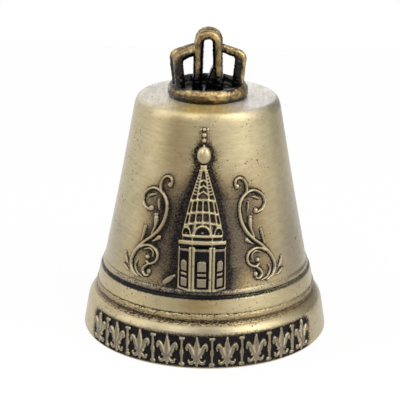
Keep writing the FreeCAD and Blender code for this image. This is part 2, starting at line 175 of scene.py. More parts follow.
def scrolls(grid):
    """A pair of acanthus scrolls, mirrored about the front line, drawn here on the left."""
    w = STEM
    h = SCROLL_HEIGHT
    # top curl with its ball
    grid.both([(-8.5, 33.0, w), (-8.6, 34.1, w), (-8.3, 35.2, w), (-7.6, 36.0, w), (-6.8, 36.2, w),
               (-6.2, 35.7, w), (-6.2, 34.9, w)], h)
    grid.both_blobs(-6.6, 34.6, 0.52, 0.55, h)
    # main loop, thick along its back, running down into the stem
    grid.both([(-11.1, 29.2, w), (-12.2, 29.6, w), (-12.8, 30.6, w), (-12.5, 31.9, w), (-11.3, 33.0, w),
               (-10.0, 33.5, w), (-8.7, 33.2, 0.3), (-7.7, 32.3, 0.32), (-7.15, 30.9, 0.34),
               (-7.25, 29.2, 0.36), (-7.8, 27.4, 0.38), (-8.9, 25.6, 0.38), (-10.4, 24.1, 0.34),
               (-12.0, 22.9, 0.32), (-13.3, 21.7, 0.36), (-14.5, 20.4, 0.34), (-15.3, 19.0, 0.3),
               (-15.5, 17.8, 0.28), (-14.9, 16.6, 0.25), (-13.5, 15.8, 0.2)], h)
    grid.both_blobs(-10.7, 29.5, 0.55, 0.6, h)
    # inside the loop: bean, drop, and a bud on a tapering stalk
    grid.both([(-11.3, 31.7, 0.2), (-10.6, 32.1, 0.3), (-9.9, 32.3, 0.15)], h * 0.8)
    grid.both([(-8.95, 31.4, 0.16), (-8.95, 30.6, 0.32), (-8.8, 29.6, 0.12)], h * 0.8)
    grid.both_blobs(-9.55, 28.5, 0.5, 0.3, h * 0.9)
    grid.both([(-9.5, 27.9, 0.5), (-9.5, 27.3, 0.5), (-9.65, 26.2, 0.28), (-10.4, 24.6, 0.2)], h * 0.9)
    # club and leaf at the stem's fork
    grid.both([(-12.0, 25.7, 0.34), (-12.3, 24.6, 0.28), (-12.8, 22.9, 0.14)], h * 0.85)
    grid.both([(-8.8, 24.2, 0.45), (-9.4, 23.7, 0.3), (-10.2, 23.2, 0.12)], h * 0.85)
    # lower curl, with an inner ridge, and the small curl below it
    grid.both([(-13.4, 21.4, 0.3), (-12.0, 22.1, w), (-10.6, 22.3, w), (-9.4, 21.7, w), (-8.95, 20.6, w),
               (-9.5, 19.4, w), (-10.8, 18.8, w), (-11.5, 19.2, 0.2)], h)
    grid.both_blobs(-11.3, 20.0, 0.48, 0.5, h)
    grid.both([(-12.0, 21.4, 0.14), (-10.7, 21.75, 0.2), (-9.95, 21.1, 0.22), (-10.05, 20.4, 0.2)],
              h * 0.75)
    grid.both([(-10.7, 18.9, 0.2), (-11.9, 18.0, w), (-12.3, 17.1, w), (-11.7, 16.4, w),
               (-11.0, 16.6, 0.22)], h)
    grid.both_blobs(-10.9, 17.3, 0.48, 0.52, h)
    grid.both([(-14.0, 18.6, 0.16), (-14.3, 17.5, 0.22), (-13.6, 16.4, 0.2), (-12.3, 15.9, 0.14)],
              h * 0.75)
    # outer leaves
    grid.both([(-17.5, 19.4, 0.3), (-17.4, 18.6, 0.5), (-16.5, 17.5, 0.16)], h * 0.7)
    grid.both([(-18.0, 17.1, 0.2), (-17.2, 16.7, 0.34), (-16.2, 16.2, 0.14)], h * 0.7)
    grid.bright = np.clip((grid.H / h - 0.6) / 0.3, 0, 1)


# chapel tower, all in relief: heights of its levels, bottom to top
TOWER_FOOT, DRUM_TOP, CORNICE_TOP = 14.6, 23.6, 25.7
TENT_RING, TENT_TOP, NECK_TOP, DOME_MIDDLE = 32.05, 37.8, 38.9, 40.75
TOWER_OUTLINE = (                  # (z, half width)
    (TOWER_FOOT, 4.7), (23.5, 4.55), (23.51, 4.6), (24.4, 4.6), (24.41, 3.9), (CORNICE_TOP, 3.9),
    (CORNICE_TOP + 0.01, 4.0), (TENT_RING, 2.5), (TENT_TOP, 0.78), (TENT_TOP + 0.01, 0.66),
    (NECK_TOP, 0.66), (39.6, 1.25), (DOME_MIDDLE, 1.43), (42.0, 0.9), (42.7, 0.3), (43.1, 0.45),
    (46.0, 0.45),
)
BODY_HEIGHT = 0.72
RECESS = 0.42
RIDGE_RISE = 0.16
PILASTER_RIDGES = (1.55, 2.3)      # beside the middle panel


def chapel(grid):
    """An eight-sided drum with arched panels, two cornices, gables, and a ribbed tent roof."""
    u, z = np.abs(grid.U), grid.Z
    half = np.interp(z, *zip(*TOWER_OUTLINE))
    foot = TOWER_FOOT + 0.24 * np.clip(u - 2.7, 0, 9)
    inside = ramp(half - u) * ramp(z - foot) * ramp(NECK_TOP - z)
    body = BODY_HEIGHT - 0.26 * (u / half) ** 2

    def block(u0, u1, z0, z1, soft=0.14):
        return ramp(u - u0, soft) * ramp(u1 - u, soft) * ramp(z - z0, soft) * ramp(z1 - z, soft)

    # drum: sunk panels between double-ridged pilasters
    lean = 0.2 * np.clip(u - 2.7, 0, 9)
    sunk = np.maximum(block(-1, 1.3, 15.1, 23.5), block(2.55, 4.35, 15.1 + lean, 23.5))
    raised = np.zeros_like(body)
    for u0, u1, middle in ((-1, 0.88, 0), (2.85, 4.05, 3.45)):
        arch = np.sqrt(np.clip(1 - ((u - middle) / 1.02 / ((u1 - u0) / 2 if middle else 1)) ** 2, 0, 1))
        slope = lean if middle else 0
        raised = np.maximum(raised, block(u0, u1, 18.45 + slope, 19.75 + slope + 0.75 * arch))
        raised = np.maximum(raised, block(u0, u1, 17.55 + slope, 18.1 + slope))
        raised = np.maximum(raised, block(u0, u1, 15.45 + slope, 17.1 + slope))
    raised = np.maximum(raised, 0.7 * block(-1, 4.4, 22.3, 22.85))
    body -= RECESS * np.clip(sunk - raised, 0, 1)
    dark = np.clip(sunk - raised, 0, 1)
    for ridge in PILASTER_RIDGES:
        body += RIDGE_RISE * bell_curve(u, ridge, 0.18) * (z < DRUM_TOP)
    bright = np.maximum.reduce([bell_curve(u, at, 0.22) for at in (*PILASTER_RIDGES, 4.6)]) * (z < DRUM_TOP)
    dark = np.maximum(dark, 0.55 * bell_curve(u, 1.93, 0.13) * (z < DRUM_TOP))
    # cornices, with a sunk frieze between them, and the posts that cross it
    cornices = block(-1, 5, 23.75, 24.35) + block(-1, 4.2, 25.1, 25.65)
    body += RIDGE_RISE * cornices
    posts = bell_curve(u, 1.88, 0.18)
    body += RIDGE_RISE * posts * (z > DRUM_TOP) * (z < 27.7)
    between = block(-1, 3.7, 24.5, 25.0) + block(-1, 4.5, 23.15, 23.6)
    body -= 0.3 * np.clip(between - posts, 0, 1)
    dark = np.maximum(dark, np.clip(between - posts, 0, 1))
    # tent roof: ribs, hoops and sunk cells, coarser above the ring
    tent = ramp(z - CORNICE_TOP) * ramp(TENT_TOP - z)
    share = u / half
    below = z < TENT_RING
    rib_wide = 0.21 / half
    ribs = np.where(below, np.maximum.reduce([bell_curve(share, at, rib_wide) for at in (0, 0.4, 0.76, 1)]),
                    np.maximum(bell_curve(share, 0.46, rib_wide), bell_curve(share, 0.97, 0.22 / half)))
    curve = z + 0.055 * u ** 2
    hoops = np.zeros_like(body)
    for at in (27.9, 29.9):
        hoops = np.maximum(hoops, bell_curve(curve, at, 0.23) * below)
    side = u > 0.5 * half
    for at in (33.9, 35.0, 36.1):
        hoops = np.maximum(hoops, bell_curve(curve + 0.7 * u, at, 0.17) * ~below * ~side)
    for at in np.arange(33.0, 37.6, 0.62):
        hoops = np.maximum(hoops, 0.8 * bell_curve(z - 0.2 * u, at, 0.15) * ~below * side)
    ring = bell_curve(curve, TENT_RING + 0.25, 0.24)
    cells = np.clip(1 - ribs - 0.8 * hoops - ring, 0, 1)
    body += tent * (0.1 * np.maximum(ribs, 0.8 * hoops) + RIDGE_RISE * ring - RECESS * cells)
    dark = np.maximum(dark, 0.45 * tent * cells)
    # gables over the upper cornice: a wide one in the middle and a round one each side
    for middle, wide, high in ((0, 1.75, 1.75), (3.1, 0.9, 1.45)):
        out = np.hypot((u - middle) / wide, np.clip(z - CORNICE_TOP, 0, 9) / high)
        over = z > CORNICE_TOP - 0.1
        arch = over * bell_curve(out, 0.86, 0.17)
        body = np.where(over & (out < 1), BODY_HEIGHT - RECESS, body)
        dark = np.where(over & (out < 1), bell_curve(out, 0.45, 0.3), dark)
        body = np.where(over, np.maximum(body, (BODY_HEIGHT + 0.02) * arch), body)
        bright = np.maximum(bright, arch)
    bright = np.maximum.reduce([bright, cornices, tent * ribs, tent * hoops, tent * ring])
    grid.H = np.maximum(grid.H, inside * body)
    grid.dark = inside * dark
    grid.bright = np.maximum(grid.bright, inside * np.clip(bright, 0, 1))
    # neck rings, onion dome and a small beaded finial
    grid.stroke([(-0.75, TENT_TOP + 0.1, 0.14), (0.75, TENT_TOP + 0.1, 0.14)], 0.8)
    grid.blob(0, DOME_MIDDLE, 1.43, 1.7, 1.1)
    grid.stroke([(0, DOME_MIDDLE + 1.2, 0.6), (0, DOME_MIDDLE + 1.95, 0.16)], 0.7)
    for height_z, size in ((43.55, 0.44), (44.6, 0.47), (45.65, 0.38)):
        grid.blob(0, height_z, size, size, 0.5)
    grid.both_blobs(0.6, 45.65, 0.21, 0.21, 0.25)
    grid.bright = np.maximum(grid.bright, (z > TENT_TOP) & (u < 2))


def foot_block(grid):
    """A short slanted block beside the tower's foot."""
    grid.stroke([(-7.4, 15.75, 0.46), (-6.7, 16.35, 0.5), (-6.1, 16.8, 0.42), (-5.4, 17.3, 0.26)], 0.5, 0.35)


FRIEZE_FLOOR = -0.42               # against the lip's face
FRIEZE_LOW, FRIEZE_HIGH = 0.45, 6.45
FRIEZE_LEFT, FRIEZE_RIGHT = -27.6, 26.4
MOTIFS = 9
MOTIF_TALLER = 1.05                # than the heights written below
MOTIF_FULL = 0.45


def lily(u):
    """Strokes of a heraldic lily about u: a lance, two petals that curl outwards, a band and a foot."""
    petal = [(0.3, 2.3, 0.3), (0.95, 3.1, 0.5), (1.3, 4.1, 0.46), (1.75, 4.5, 0.36), (2.05, 4.0, 0.3),
             (1.95, 3.5, 0.2)]
    root = [(0.25, 2.0, 0.28), (0.7, 1.3, 0.36), (1.3, 1.1, 0.34), (1.6, 1.6, 0.22)]
    lance = [(u, 2.2, 0.32), (u, 3.7, 0.72), (u, 4.7, 0.55), (u, 6.0, 0.08)]
    foot = [(u, 2.2, 0.3), (u, 1.4, 0.5), (u, 0.6, 0.15)]
    band = [(u - 0.85, 2.25, 0.34), (u + 0.85, 2.25, 0.34)]
    return [lance, foot, band] + [[(u + side * du, z, w) for du, z, w in line]
                                  for line in (petal, root) for side in (-1, 1)]


def baluster(u):
    """Strokes of a turned post about u."""
    post = [(u, 0.8, 0.3), (u, 2.2, 0.3), (u, 3.1, 0.52), (u, 4.0, 0.3), (u, 5.6, 0.3)]
    return [post] + [[(u - 0.3, z, 0.32), (u + 0.3, z, 0.32)] for z in (0.85, 5.6)]


def frieze(grid):
    """A sunk band on the lip with lilies and balusters left standing in it.

    Returns how far each place is within the band, within a figure, and on a figure's sloping edge.
    """
    ends = np.minimum(grid.U - FRIEZE_LEFT, FRIEZE_RIGHT - grid.U)
    field = (np.clip(ends / 2.2 + 0.35, 0, 1) * ramp(grid.Z - FRIEZE_LOW, 0.3)
             * ramp(FRIEZE_HIGH - grid.Z, 0.5))
    pitch = (FRIEZE_RIGHT - FRIEZE_LEFT) / MOTIFS
    for i in range(MOTIFS):
        middle = FRIEZE_LEFT + pitch * (i + 0.5)
        for points in lily(middle) + (baluster(middle - pitch / 2) if i else []):
            grid.stroke([(u, MOTIF_TALLER * z, w) for u, z, w in points], 1, MOTIF_FULL)
    standing = grid.H.copy()
    room = np.clip(REACH - 0.01 - grid.radius, 0, 0.22)[:, None]
    grid.H = FRIEZE_FLOOR * field * (1 - standing) + room * standing
    edges = bell_curve(standing, 0.62, 0.25)
    return field, standing, edges


# ---------------------------------------------------------------- shell

SHOULDER_LOW = 2.2                 # below the top, where the shoulder's round begins
HOLE_RADIUS = 3.08
CEILING_Z = 46.2
shell_node = nodes["bell_shell"]


def wall_radius(z, outside=True):
    """Radius of the CAD shell's outer or inner wall at a height."""
    start = Vector((0, 40 * MM if outside else 0, z * MM))
    _, place, _, _ = shell_node.ray_cast(start, Vector((0, -1 if outside else 1, 0)))
    return place.y / MM


PROFILE_Z = np.arange(0.05, TOP_Z, 0.05)
EASING = ((0, 0.08), (1, 0.2), (5, 0.2), (15, 0.1), (17, 0.6), (22, 3.0), (40, 3.0), (45.5, 0.4))


def eased_profile():
    """Outside radii of the CAD shell, each averaged over a reach that EASING gives by height."""
    raw = np.array([wall_radius(z) for z in PROFILE_Z])
    reach = np.interp(PROFILE_Z, *zip(*EASING))[:, None]
    share = np.exp(-0.5 * ((PROFILE_Z[:, None] - PROFILE_Z) / reach) ** 2)
    return np.minimum(share @ raw / share.sum(1), REACH)


PROFILE = eased_profile()


def radii(heights):
    return np.interp(heights, PROFILE_Z, PROFILE)


# patina in the grooves and the cove, and a painted shadow under the upper bead fading down onto the band
PATINA_AND_SHADOW_LINES = (                   # height, half width and depth of the dark lines along the mouldings
    (8.75, 0.5, 0.4), (10.45, 0.26, 0.45), (12.95, 0.5, 0.24), (13.4, 0.34, 1.0), (13.75, 0.32, 0.9),
    (14.95, 0.2, 0.6),
)


def moulding_dark_share(units):
    """Share of the mouldings' patina and painted shadow that is kept, most at the front and least at the
    right.
    """
    return np.interp(units, (-210, -110, 25, 60, 200), (0.55, 1, 1, 0.68, 0.45))


def moulding_patina_and_shadow(z, units):
    """How dark the mouldings are at a height: patina, and the painted shadow under the upper bead."""
    return moulding_dark_share(units) * max(depth * bell_curve(z, at, wide) for at, wide, depth in PATINA_AND_SHADOW_LINES)


def column_units(reach, back):
    """Columns of one row, in units: every one within reach of the front, else every back-th."""
    fine = set(range(-reach, reach + 1)) if reach else set()
    return sorted(fine | {u for u in range(-UNITS_ROUND // 2, UNITS_ROUND // 2, back)
                          if not reach or abs(u) >= reach})


HAMMER_STEP = 2                    # units between columns where the casting is left granular
HAMMERED = ((8.0, 10.4), (13.5, 14.8))         # heights between which it is granular
HAMMER_DEPTH = 0.07
COVE = (8.3, 9.2)


def painted_brown_shade(angle, z):
    """Painted shade: a browner, darker stretch on the waist left of the front and on the front of the band,
    towards the room's dim side.
    """
    angle = np.degrees(angle)
    waist = 0.3 * bell_curve(angle, -21, 15) * np.interp(z, (14, 20, 46, 49), (0, 1, 1, 0.6))
    band = 0.5 * bell_curve(angle, -1, 14) * bell_curve(z, 12, 2.5)
    return np.maximum(waist, band)


def painted_shade(angle, z):
    """Painted shade: how much duller the lower flanks are made, more so on the right, and the top of the lip
    at the front, where it tones down the lamps' highlight.
    """
    angle = np.degrees(angle)
    lip = 0.75 * bell_curve(angle, -4, 24) * bell_curve(z, 7.2, 0.9)
    flanks = 0.56 * bell_curve(angle, 68, 20) + 0.36 * bell_curve(angle, -66, 16)
    return lip + flanks * np.interp(z, (12, 16, 22, 36), (0.12, 1, 1, 0))


def painted_rim_reflection(angle):
    """How golden the top plate is, most at its front: a painted reflection of the crown's rim."""
    return np.interp(np.degrees(angle), (-130, -65, -15, 15, 50), (0, 0.2, 1, 1, 0))


class Lathe:
    """Rings of vertices round the bell's axis, joined into faces, with values kept for each vertex."""

    def __init__(self):
        self.points, self.faces, self.slots = [], [], []
        self.values = {"patina": [], "raised": [], "warmth": [], "hammer": [], "plate": [], "golden": []}
        self.last = None

    def ring(self, units, radius, z, slot=0, **values):
        """A ring on these columns, joined to the one before. Values that aren't given are 0."""
        angle = radians_of(units)
        # painted shade: every ring takes the browner stretch towards the room's dim side into its warmth
        values["warmth"] = np.maximum(values.get("warmth", 0.0), painted_brown_shade(angle, z))
        # painted shade: the duller lower flanks and lip top go into every ring's raised share
        values["raised"] = np.maximum(values.get("raised", 0.0), painted_shade(angle, z))
        radius = np.broadcast_to(radius, len(units))
        z = np.broadcast_to(z, len(units))
        first = len(self.points)
        self.points += list(zip(radius * np.sin(angle) * MM, -radius * np.cos(angle) * MM, z * MM))
        for name, kept in self.values.items():
            kept += list(np.broadcast_to(values.get(name, 0.0), len(units)))
        index = {u: first + i for i, u in enumerate(units)}
        if self.last:
            self.join(self.last, index, slot)
        self.last = index

    def join(self, below, above, slot):
        """Faces between two rings, whose columns need not all match."""
        low, high = sorted(below), sorted(above)
        shared = sorted(set(low) & set(high))
        place_low = {u: i for i, u in enumerate(low)}
        place_high = {u: i for i, u in enumerate(high)}
        for a, b in zip(shared, shared[1:] + shared[:1]):
            run_low = self.between(low, place_low, a, b)
            run_high = self.between(high, place_high, a, b)
            self.faces.append([below[u] for u in run_low] + [above[u] for u in reversed(run_high)])
            self.slots.append(slot)

    @staticmethod
    def between(units, place, a, b):
        """The units from a to b, on past the back where b comes before a."""
        i, j = place[a], place[b]
        return units[i:j + 1] if j > i else units[i:] + units[:j + 1]

    def mesh(self, name):
        mesh = bpy.data.meshes.new(name)
        mesh.from_pydata(self.points, [], self.faces)
        for value, kept in self.values.items():
            layer = mesh.attributes.new(value, "FLOAT", "POINT")
            layer.data.foreach_set("value", np.array(kept, np.float32))
        mesh.polygons.foreach_set("material_index", self.slots)
        mesh.shade_smooth()
        return mesh


PLAIN = column_units(0, PLAIN_STEP)
AROUND_FRIEZE = column_units(FRIEZE_REACH, PLAIN_STEP)
AROUND_RELIEF = column_units(RELIEF_REACH, BACK_STEP)
HAMMERED_ROUND = np.array(column_units(0, HAMMER_STEP))
FRIEZE_ROWS, RELIEF_ROWS = np.arange(0.36, 7.15, ROW_STEP), np.arange(13.9, 46.4, ROW_STEP)
LIP_RADIUS, WAIST_RADIUS = 24.5, 18.5          # where the reliefs' blurs are true across
WAIST_LEAN = (wall_radius(20) - wall_radius(40)) / 20
OUT, UP = math.cos(math.atan(WAIST_LEAN)), math.sin(math.atan(WAIST_LEAN))   # the way reliefs rise

HALO_WIDTH = ((16, 34, 42, 46), (2.4, 2.6, 1.8, 1.3))           # dark halo beside the tower, by height
HALO_DEPTH = ((16, 34, 38, 42.4, 43.6), (0.32, 0.42, 0.52, 0.52, 0.28))
HALO_MOST = 0.62                   # the brown still shows through a halo here and there


def waist_finish(wall):
    """Patina, warmth and wear of the waist's relief: dark beside it and in its hollows, worn on it, and
    lighter right of the tower as painted light.
    """
    cover = np.clip(wall.H / 0.25, 0, 1)
    around = 1 - cover
    tight, near, wide = (wall.blurred(cover, mm, mm, WAIST_RADIUS) for mm in (0.22, 0.8, 2.4))
    level = wall.blurred(wall.H, 0.3, 0.3, WAIST_RADIUS)
    apart = np.abs(wall.U) - np.interp(wall.Z, *zip(*TOWER_OUTLINE))          # from the tower
    in_tent = (apart < 0) & (wall.Z > CORNICE_TOP) & (wall.Z < TENT_TOP)
    hollow = np.where(in_tent, 0.25, 0.8) * np.clip((level - wall.H) / 0.16, 0, 1)
    fading = (np.clip((41 - wall.Z) / 10, 0.25, 1)
              * np.interp(np.abs(wall.U), (7.5, 10.5, 16.5), (1, 0.6, 0.25)))
    beside = np.exp(-np.clip(apart, 0, 20) / np.interp(wall.Z, *HALO_WIDTH)) * np.clip(0.5 + apart, 0, 1)
    halo = around * (1.1 * near + 1.15 * fading * wide + beside * np.interp(wall.Z, *HALO_DEPTH))
    # painted light: the halo is lighter right of the tower, on the lit side
    lit_and_worn = (wall.U > 0) & (wall.Z < TENT_RING) & (wall.Z > 19)
    foot = (around * 0.4 * np.clip((19.5 - wall.Z) / 4, 0, 1)
            * np.interp(wall.U, (-19, -14, -5, 5, 14), (0.2, 0.85, 1, 1, 0.3)))
    halo = np.clip(np.maximum(halo * np.where(lit_and_worn, 0.7, 1), foot), 0, HALO_MOST)
    patina = np.clip(np.maximum.reduce([halo, 2.4 * around * tight, hollow + wall.dark]), 0, 1)
    warmth = np.clip(5 * fading * wide, 0, 1) * around
    return patina, warmth, np.maximum(cover * (0.72 - 0.65 * wall.bright), 0.45 * warmth)


def lay_lip(lathe):
    """The resting ring, the foot of the lip and the frieze on it."""
    mouth_in, mouth_out = wall_radius(0.5, False), wall_radius(0.5)
    lathe.ring(PLAIN, mouth_in + 0.4, 0.0)
    lathe.ring(PLAIN, mouth_out - 0.4, 0.0)
    for height in (0.03, 0.12, 0.24):
        lathe.ring(PLAIN, min(wall_radius(height), REACH), height)
    band = Grid(FRIEZE_ROWS, radii(FRIEZE_ROWS), FRIEZE_REACH)
    field, standing, edges = frieze(band)
    near = band.blurred(field, 0.75, 0.5, LIP_RADIUS)
    patina = np.clip(1.15 * near - 1.6 * standing, 0, 1)
    # painted highlight: the figures' faces are dulled and their sloping edges kept bright
    worn = 1.2 * standing * (1 - edges)
    for i, height in enumerate(FRIEZE_ROWS):
        h = band.row(band.H[i], AROUND_FRIEZE)
        lathe.ring(AROUND_FRIEZE, band.radius[i] + h * OUT, height + h * UP,
                   patina=band.row(patina[i], AROUND_FRIEZE), raised=band.row(worn[i], AROUND_FRIEZE))


def lay_mouldings(lathe, chance):
    """From the top of the lip to the upper bead, granular where it was left as it was cast."""
    mouldings = np.arange(7.2, 13.85, 0.1)
    for height, radius in zip(mouldings, radii(mouldings)):
        if any(a < height < b for a, b in HAMMERED):
            dents = chance.uniform(-1, 1, len(HAMMERED_ROUND))
            patina = (moulding_patina_and_shadow(height, HAMMERED_ROUND)
                      + (0.16 - 0.42 * dents) * moulding_dark_share(HAMMERED_ROUND))
            lathe.ring(HAMMERED_ROUND, np.minimum(radius + HAMMER_DEPTH * dents, REACH), height, hammer=1.0,
                       warmth=0.75 if COVE[0] < height < COVE[1] else 0.3, patina=np.clip(patina, 0, 1))
        else:
            lathe.ring(PLAIN, radius, height, patina=moulding_patina_and_shadow(height, np.array(PLAIN)))


def lay_waist(lathe, chance):
    """The upper bead and the waist with its relief."""
    wall = Grid(RELIEF_ROWS, radii(RELIEF_ROWS), RELIEF_REACH)
    scrolls(wall)
    foot_block(wall)
    chapel(wall)
    wall_patina, wall_warmth, wall_worn = waist_finish(wall)
    shift = chance.uniform(-1, 1, wall.H.shape)
    # the upper bead made darker and duller towards the front
    bead_front_darkening = np.interp(wall.units, (-170, -60, 20, 60), (0.5, 1, 1, 0.5))      # of the upper bead
    for i, height in enumerate(RELIEF_ROWS):
        bead = float(height < HAMMERED[1][1])
        h = wall.row(wall.H[i] + bead * HAMMER_DEPTH * 0.6 * shift[i], AROUND_RELIEF)
        patina = wall_patina[i] * (1 - 0.7 * bead) + bead * (0.3 * bead_front_darkening - 0.3 * shift[i])
        # the mouldings' patina and painted shadow, where no relief stands
        line = moulding_patina_and_shadow(height, np.array(AROUND_RELIEF)) * (h < 0.2)
        lathe.ring(AROUND_RELIEF, wall.radius[i] + h * OUT, height + h * UP, hammer=0.6 * bead,
                   patina=np.maximum(wall.row(np.clip(patina, 0, 1), AROUND_RELIEF), line),
                   raised=wall.row(np.maximum(wall_worn[i], 0.9 * bead * bead_front_darkening), AROUND_RELIEF),
                   warmth=wall.row(wall_warmth[i] * (1 - 0.6 * bead), AROUND_RELIEF))


def lay_shoulder(lathe):
    """The plain top of the waist, the shoulder's round, and the plate as far as its hole."""
    low = TOP_Z - SHOULDER_LOW
    for height in np.arange(RELIEF_ROWS[-1] + 0.4, low, 0.4):
        lathe.ring(PLAIN, radii(height), height)
    # the round is a curve from the waist's line to the plate's, through their corner
    golden = painted_rim_reflection(radians_of(PLAIN))
    foot, edge = wall_radius(low), wall_radius(TOP_Z - 0.02) - 0.1
    corner = foot - WAIST_LEAN * SHOULDER_LOW
    for t in np.linspace(0, 1, 14):
        a, b, c = (1 - t) ** 2, 2 * t * (1 - t), t ** 2
        lathe.ring(PLAIN, a * foot + b * corner + c * edge, low + SHOULDER_LOW * (b + c),
                   plate=c, golden=golden, hammer=0.3)
    for radius in np.linspace(edge, HOLE_RADIUS, 12)[1:]:
        lathe.ring(PLAIN, radius, TOP_Z, plate=1.0, golden=golden)


def lay_inside(lathe):
    """Hole, ceiling and inside wall, down to the resting ring."""
    inside = 1                     # second material
    lathe.ring(PLAIN, HOLE_RADIUS, CEILING_Z, inside)
    for radius in np.linspace(HOLE_RADIUS, wall_radius(CEILING_Z - 0.03, False) - 0.2, 6)[1:]:
        lathe.ring(PLAIN, radius, CEILING_Z, inside)
    below_ceiling = np.concatenate([[0.05, 0.15, 0.35, 0.7, 1.1, 1.6], np.arange(2.3, 45.7, 1.2)])
    for height in (*(CEILING_Z - below_ceiling), 0.4, 0.2, 0.08):
        lathe.ring(PLAIN, wall_radius(height, False), height, inside)
    first = {u: i for i, u in enumerate(PLAIN)}
    lathe.join(lathe.last, first, inside)


def build_shell():
    lathe = Lathe()
    chance = np.random.default_rng(7)
    lay_lip(lathe)
    lay_mouldings(lathe, chance)
    lay_waist(lathe, chance)
    lay_shoulder(lathe)
    lay_inside(lathe)
    return new_object("cast_shell", lathe.mesh("cast_shell"))


# ---------------------------------------------------------------- crown

CROWN_VOXEL = 0.15
CROWN_LUMPS = 0.18                 # how far the rough casting swells and sinks
LUMP_SIZE, GRAIN_SIZE = 1.1, 0.4
DISH_RADIUS = 7.3


def build_crown():
    """The CAD crown with its edges softened and its skin roughened, as it came from the mould."""
    mesh = nodes["crown"].data.copy()
    mesh.transform(Matrix.Scale(1 / MM, 4))
    work = new_object("cast_crown", mesh)
    for name, kind, settings in (
        ("weld", "WELD", {"merge_threshold": 0.002}),
        ("voxels", "REMESH", {"mode": "VOXEL", "voxel_size": CROWN_VOXEL}),
        ("soften", "SMOOTH", {"factor": 0.5, "iterations": 5}),
        ("lumps", "DISPLACE", {"texture": cloud_texture("lumps", LUMP_SIZE), "strength": CROWN_LUMPS,
                               "mid_level": 0.5, "texture_coords": "LOCAL"}),
        ("grain", "DISPLACE", {"texture": cloud_texture("grain", GRAIN_SIZE), "strength": CROWN_LUMPS * 0.8,
                               "mid_level": 0.5, "texture_coords": "LOCAL"}),
    ):
        modifier = work.modifiers.new(name, kind)
        for key, value in settings.items():
            setattr(modifier, key, value)
    done = bpy.data.meshes.new_from_object(work.evaluated_get(bpy.context.evaluated_depsgraph_get()))
    work.modifiers.clear()
    thicken_right_side(done)
    done.transform(Matrix.Scale(MM, 4))
    keep_in_box(done)
    done.shade_smooth()
    add_patina_and_shade(done)
    work.data = done
    return work


RIGHT_EAR_THICKER = 0.6            # the casting is fuller on the inner side of its right ear
FLASH_WIDE, FLASH_HIGH = 1.7, 4.9  # and a thin web is left in the loop, low on the right


def read_points(mesh):
    """Places and normals of a mesh's points."""
    places, normals = (np.empty(len(mesh.vertices) * 3, np.float32) for _ in range(2))
    mesh.vertices.foreach_get("co", places)
    mesh.vertex_normals.foreach_get("vector", normals)
    return places.reshape(-1, 3), normals.reshape(-1, 3)


def thicken_right_side(mesh):
    """Moves what faces left out to the left, on the right ear and on the loop's right post."""
    places, normals = read_points(mesh)
    x, y, up = places[:, 0], places[:, 1], places[:, 2] - TOP_Z
    faces_left = np.clip((-normals[:, 0] - 0.1) / 0.5, 0, 1)
    ear = np.clip((x - 3.3) / 1.2, 0, 1) * np.clip((DISH_RADIUS - 0.1 - np.hypot(x, y)) / 0.4, 0, 1)
    x -= RIGHT_EAR_THICKER * faces_left * ear * np.clip((up - 1.2) / 0.8, 0, 1)
    post = (x > 0.3) & (x < 2.2) & (np.abs(y) < 2.0) & (up > 1.0)
    x -= FLASH_WIDE * post * faces_left * np.clip(1 - (up - 1.0) / FLASH_HIGH, 0, 1) ** 0.6
    mesh.vertices.foreach_set("co", places.ravel())


def add_patina_and_shade(mesh):
    """Marks how dark the crown is painted: patina and painted shade in the dish and low down, painted shade
    on faces turned in or sideways; less where painted highlights lie.
    """
    places, normals = read_points(mesh)
    x, y, up = places[:, 0] / MM, places[:, 1] / MM, places[:, 2] / MM - TOP_Z
    reach = np.hypot(x, y)
    inward = -(x * normals[:, 0] + y * normals[:, 1]) / np.maximum(reach, 0.5)
    across = -np.sign(x) * normals[:, 0]
    ear = np.clip((np.abs(x) - 3.2) / 1.0, 0, 1)
    low = np.clip(1.2 - (up - 1.2) / (4.8 + 3.2 * ear), 0, 1) * (reach < DISH_RADIUS + 0.35 * ear)
    facing = np.clip(np.maximum(inward, across) * 1.6, 0, 1) * np.clip((up - 0.3) / 1.0, 0, 1)
    leg = ear * np.clip((8.6 - up) / 1.6, 0, 1) * (reach < DISH_RADIUS + 0.5) * np.clip(1.2 + inward, 0.35, 1)
    sides = np.clip((np.abs(normals[:, 0]) - 0.65) / 0.3, 0, 1) * (1 - ear) * (up > 1.5)
    joined = 0.35 * bell_curve(np.abs(x), 3.0, 0.6) * (up > 6)
    patina_and_shade = np.clip(0.75 * low + 0.7 * facing + 0.75 * leg + 0.4 * sides + 0.22 * ear + joined, 0, 1)
    # painted highlight: the right ear's outer side and the right of the rim are made lighter
    lit_and_worn = 0.8 * np.clip((normals[:, 0] - 0.1) / 0.5, 0, 1) * np.clip((x - 5) / 0.5, 0, 1) * (up > 2)
    rim = 0.35 * (up < 2.5) * np.clip((reach - DISH_RADIUS - 0.3) / 0.3, 0, 1) * np.clip(x / 6, 0, 1)
    layer = mesh.attributes.new("patina_and_shade", "FLOAT", "POINT")
    layer.data.foreach_set("value", (patina_and_shade * (1 - lit_and_worn) - rim).astype(np.float32))


def cloud_texture(name, size):
    texture = bpy.data.textures.new(name, "CLOUDS")
    texture.noise_scale = size
    return texture


def keep_in_box(mesh):
    """Flattens what the rough skin pushed outside the CAD crown's box, or below its seat, onto them."""
    places = np.clip(read_points(mesh)[0], *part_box("crown"))
    seated = np.hypot(places[:, 0], places[:, 1]) > (HOLE_RADIUS + 0.4) * MM
    places[seated, 2] = np.maximum(places[seated, 2], TOP_Z * MM)
    mesh.vertices.foreach_set("co", places.ravel())


# ---------------------------------------------------------------- materials

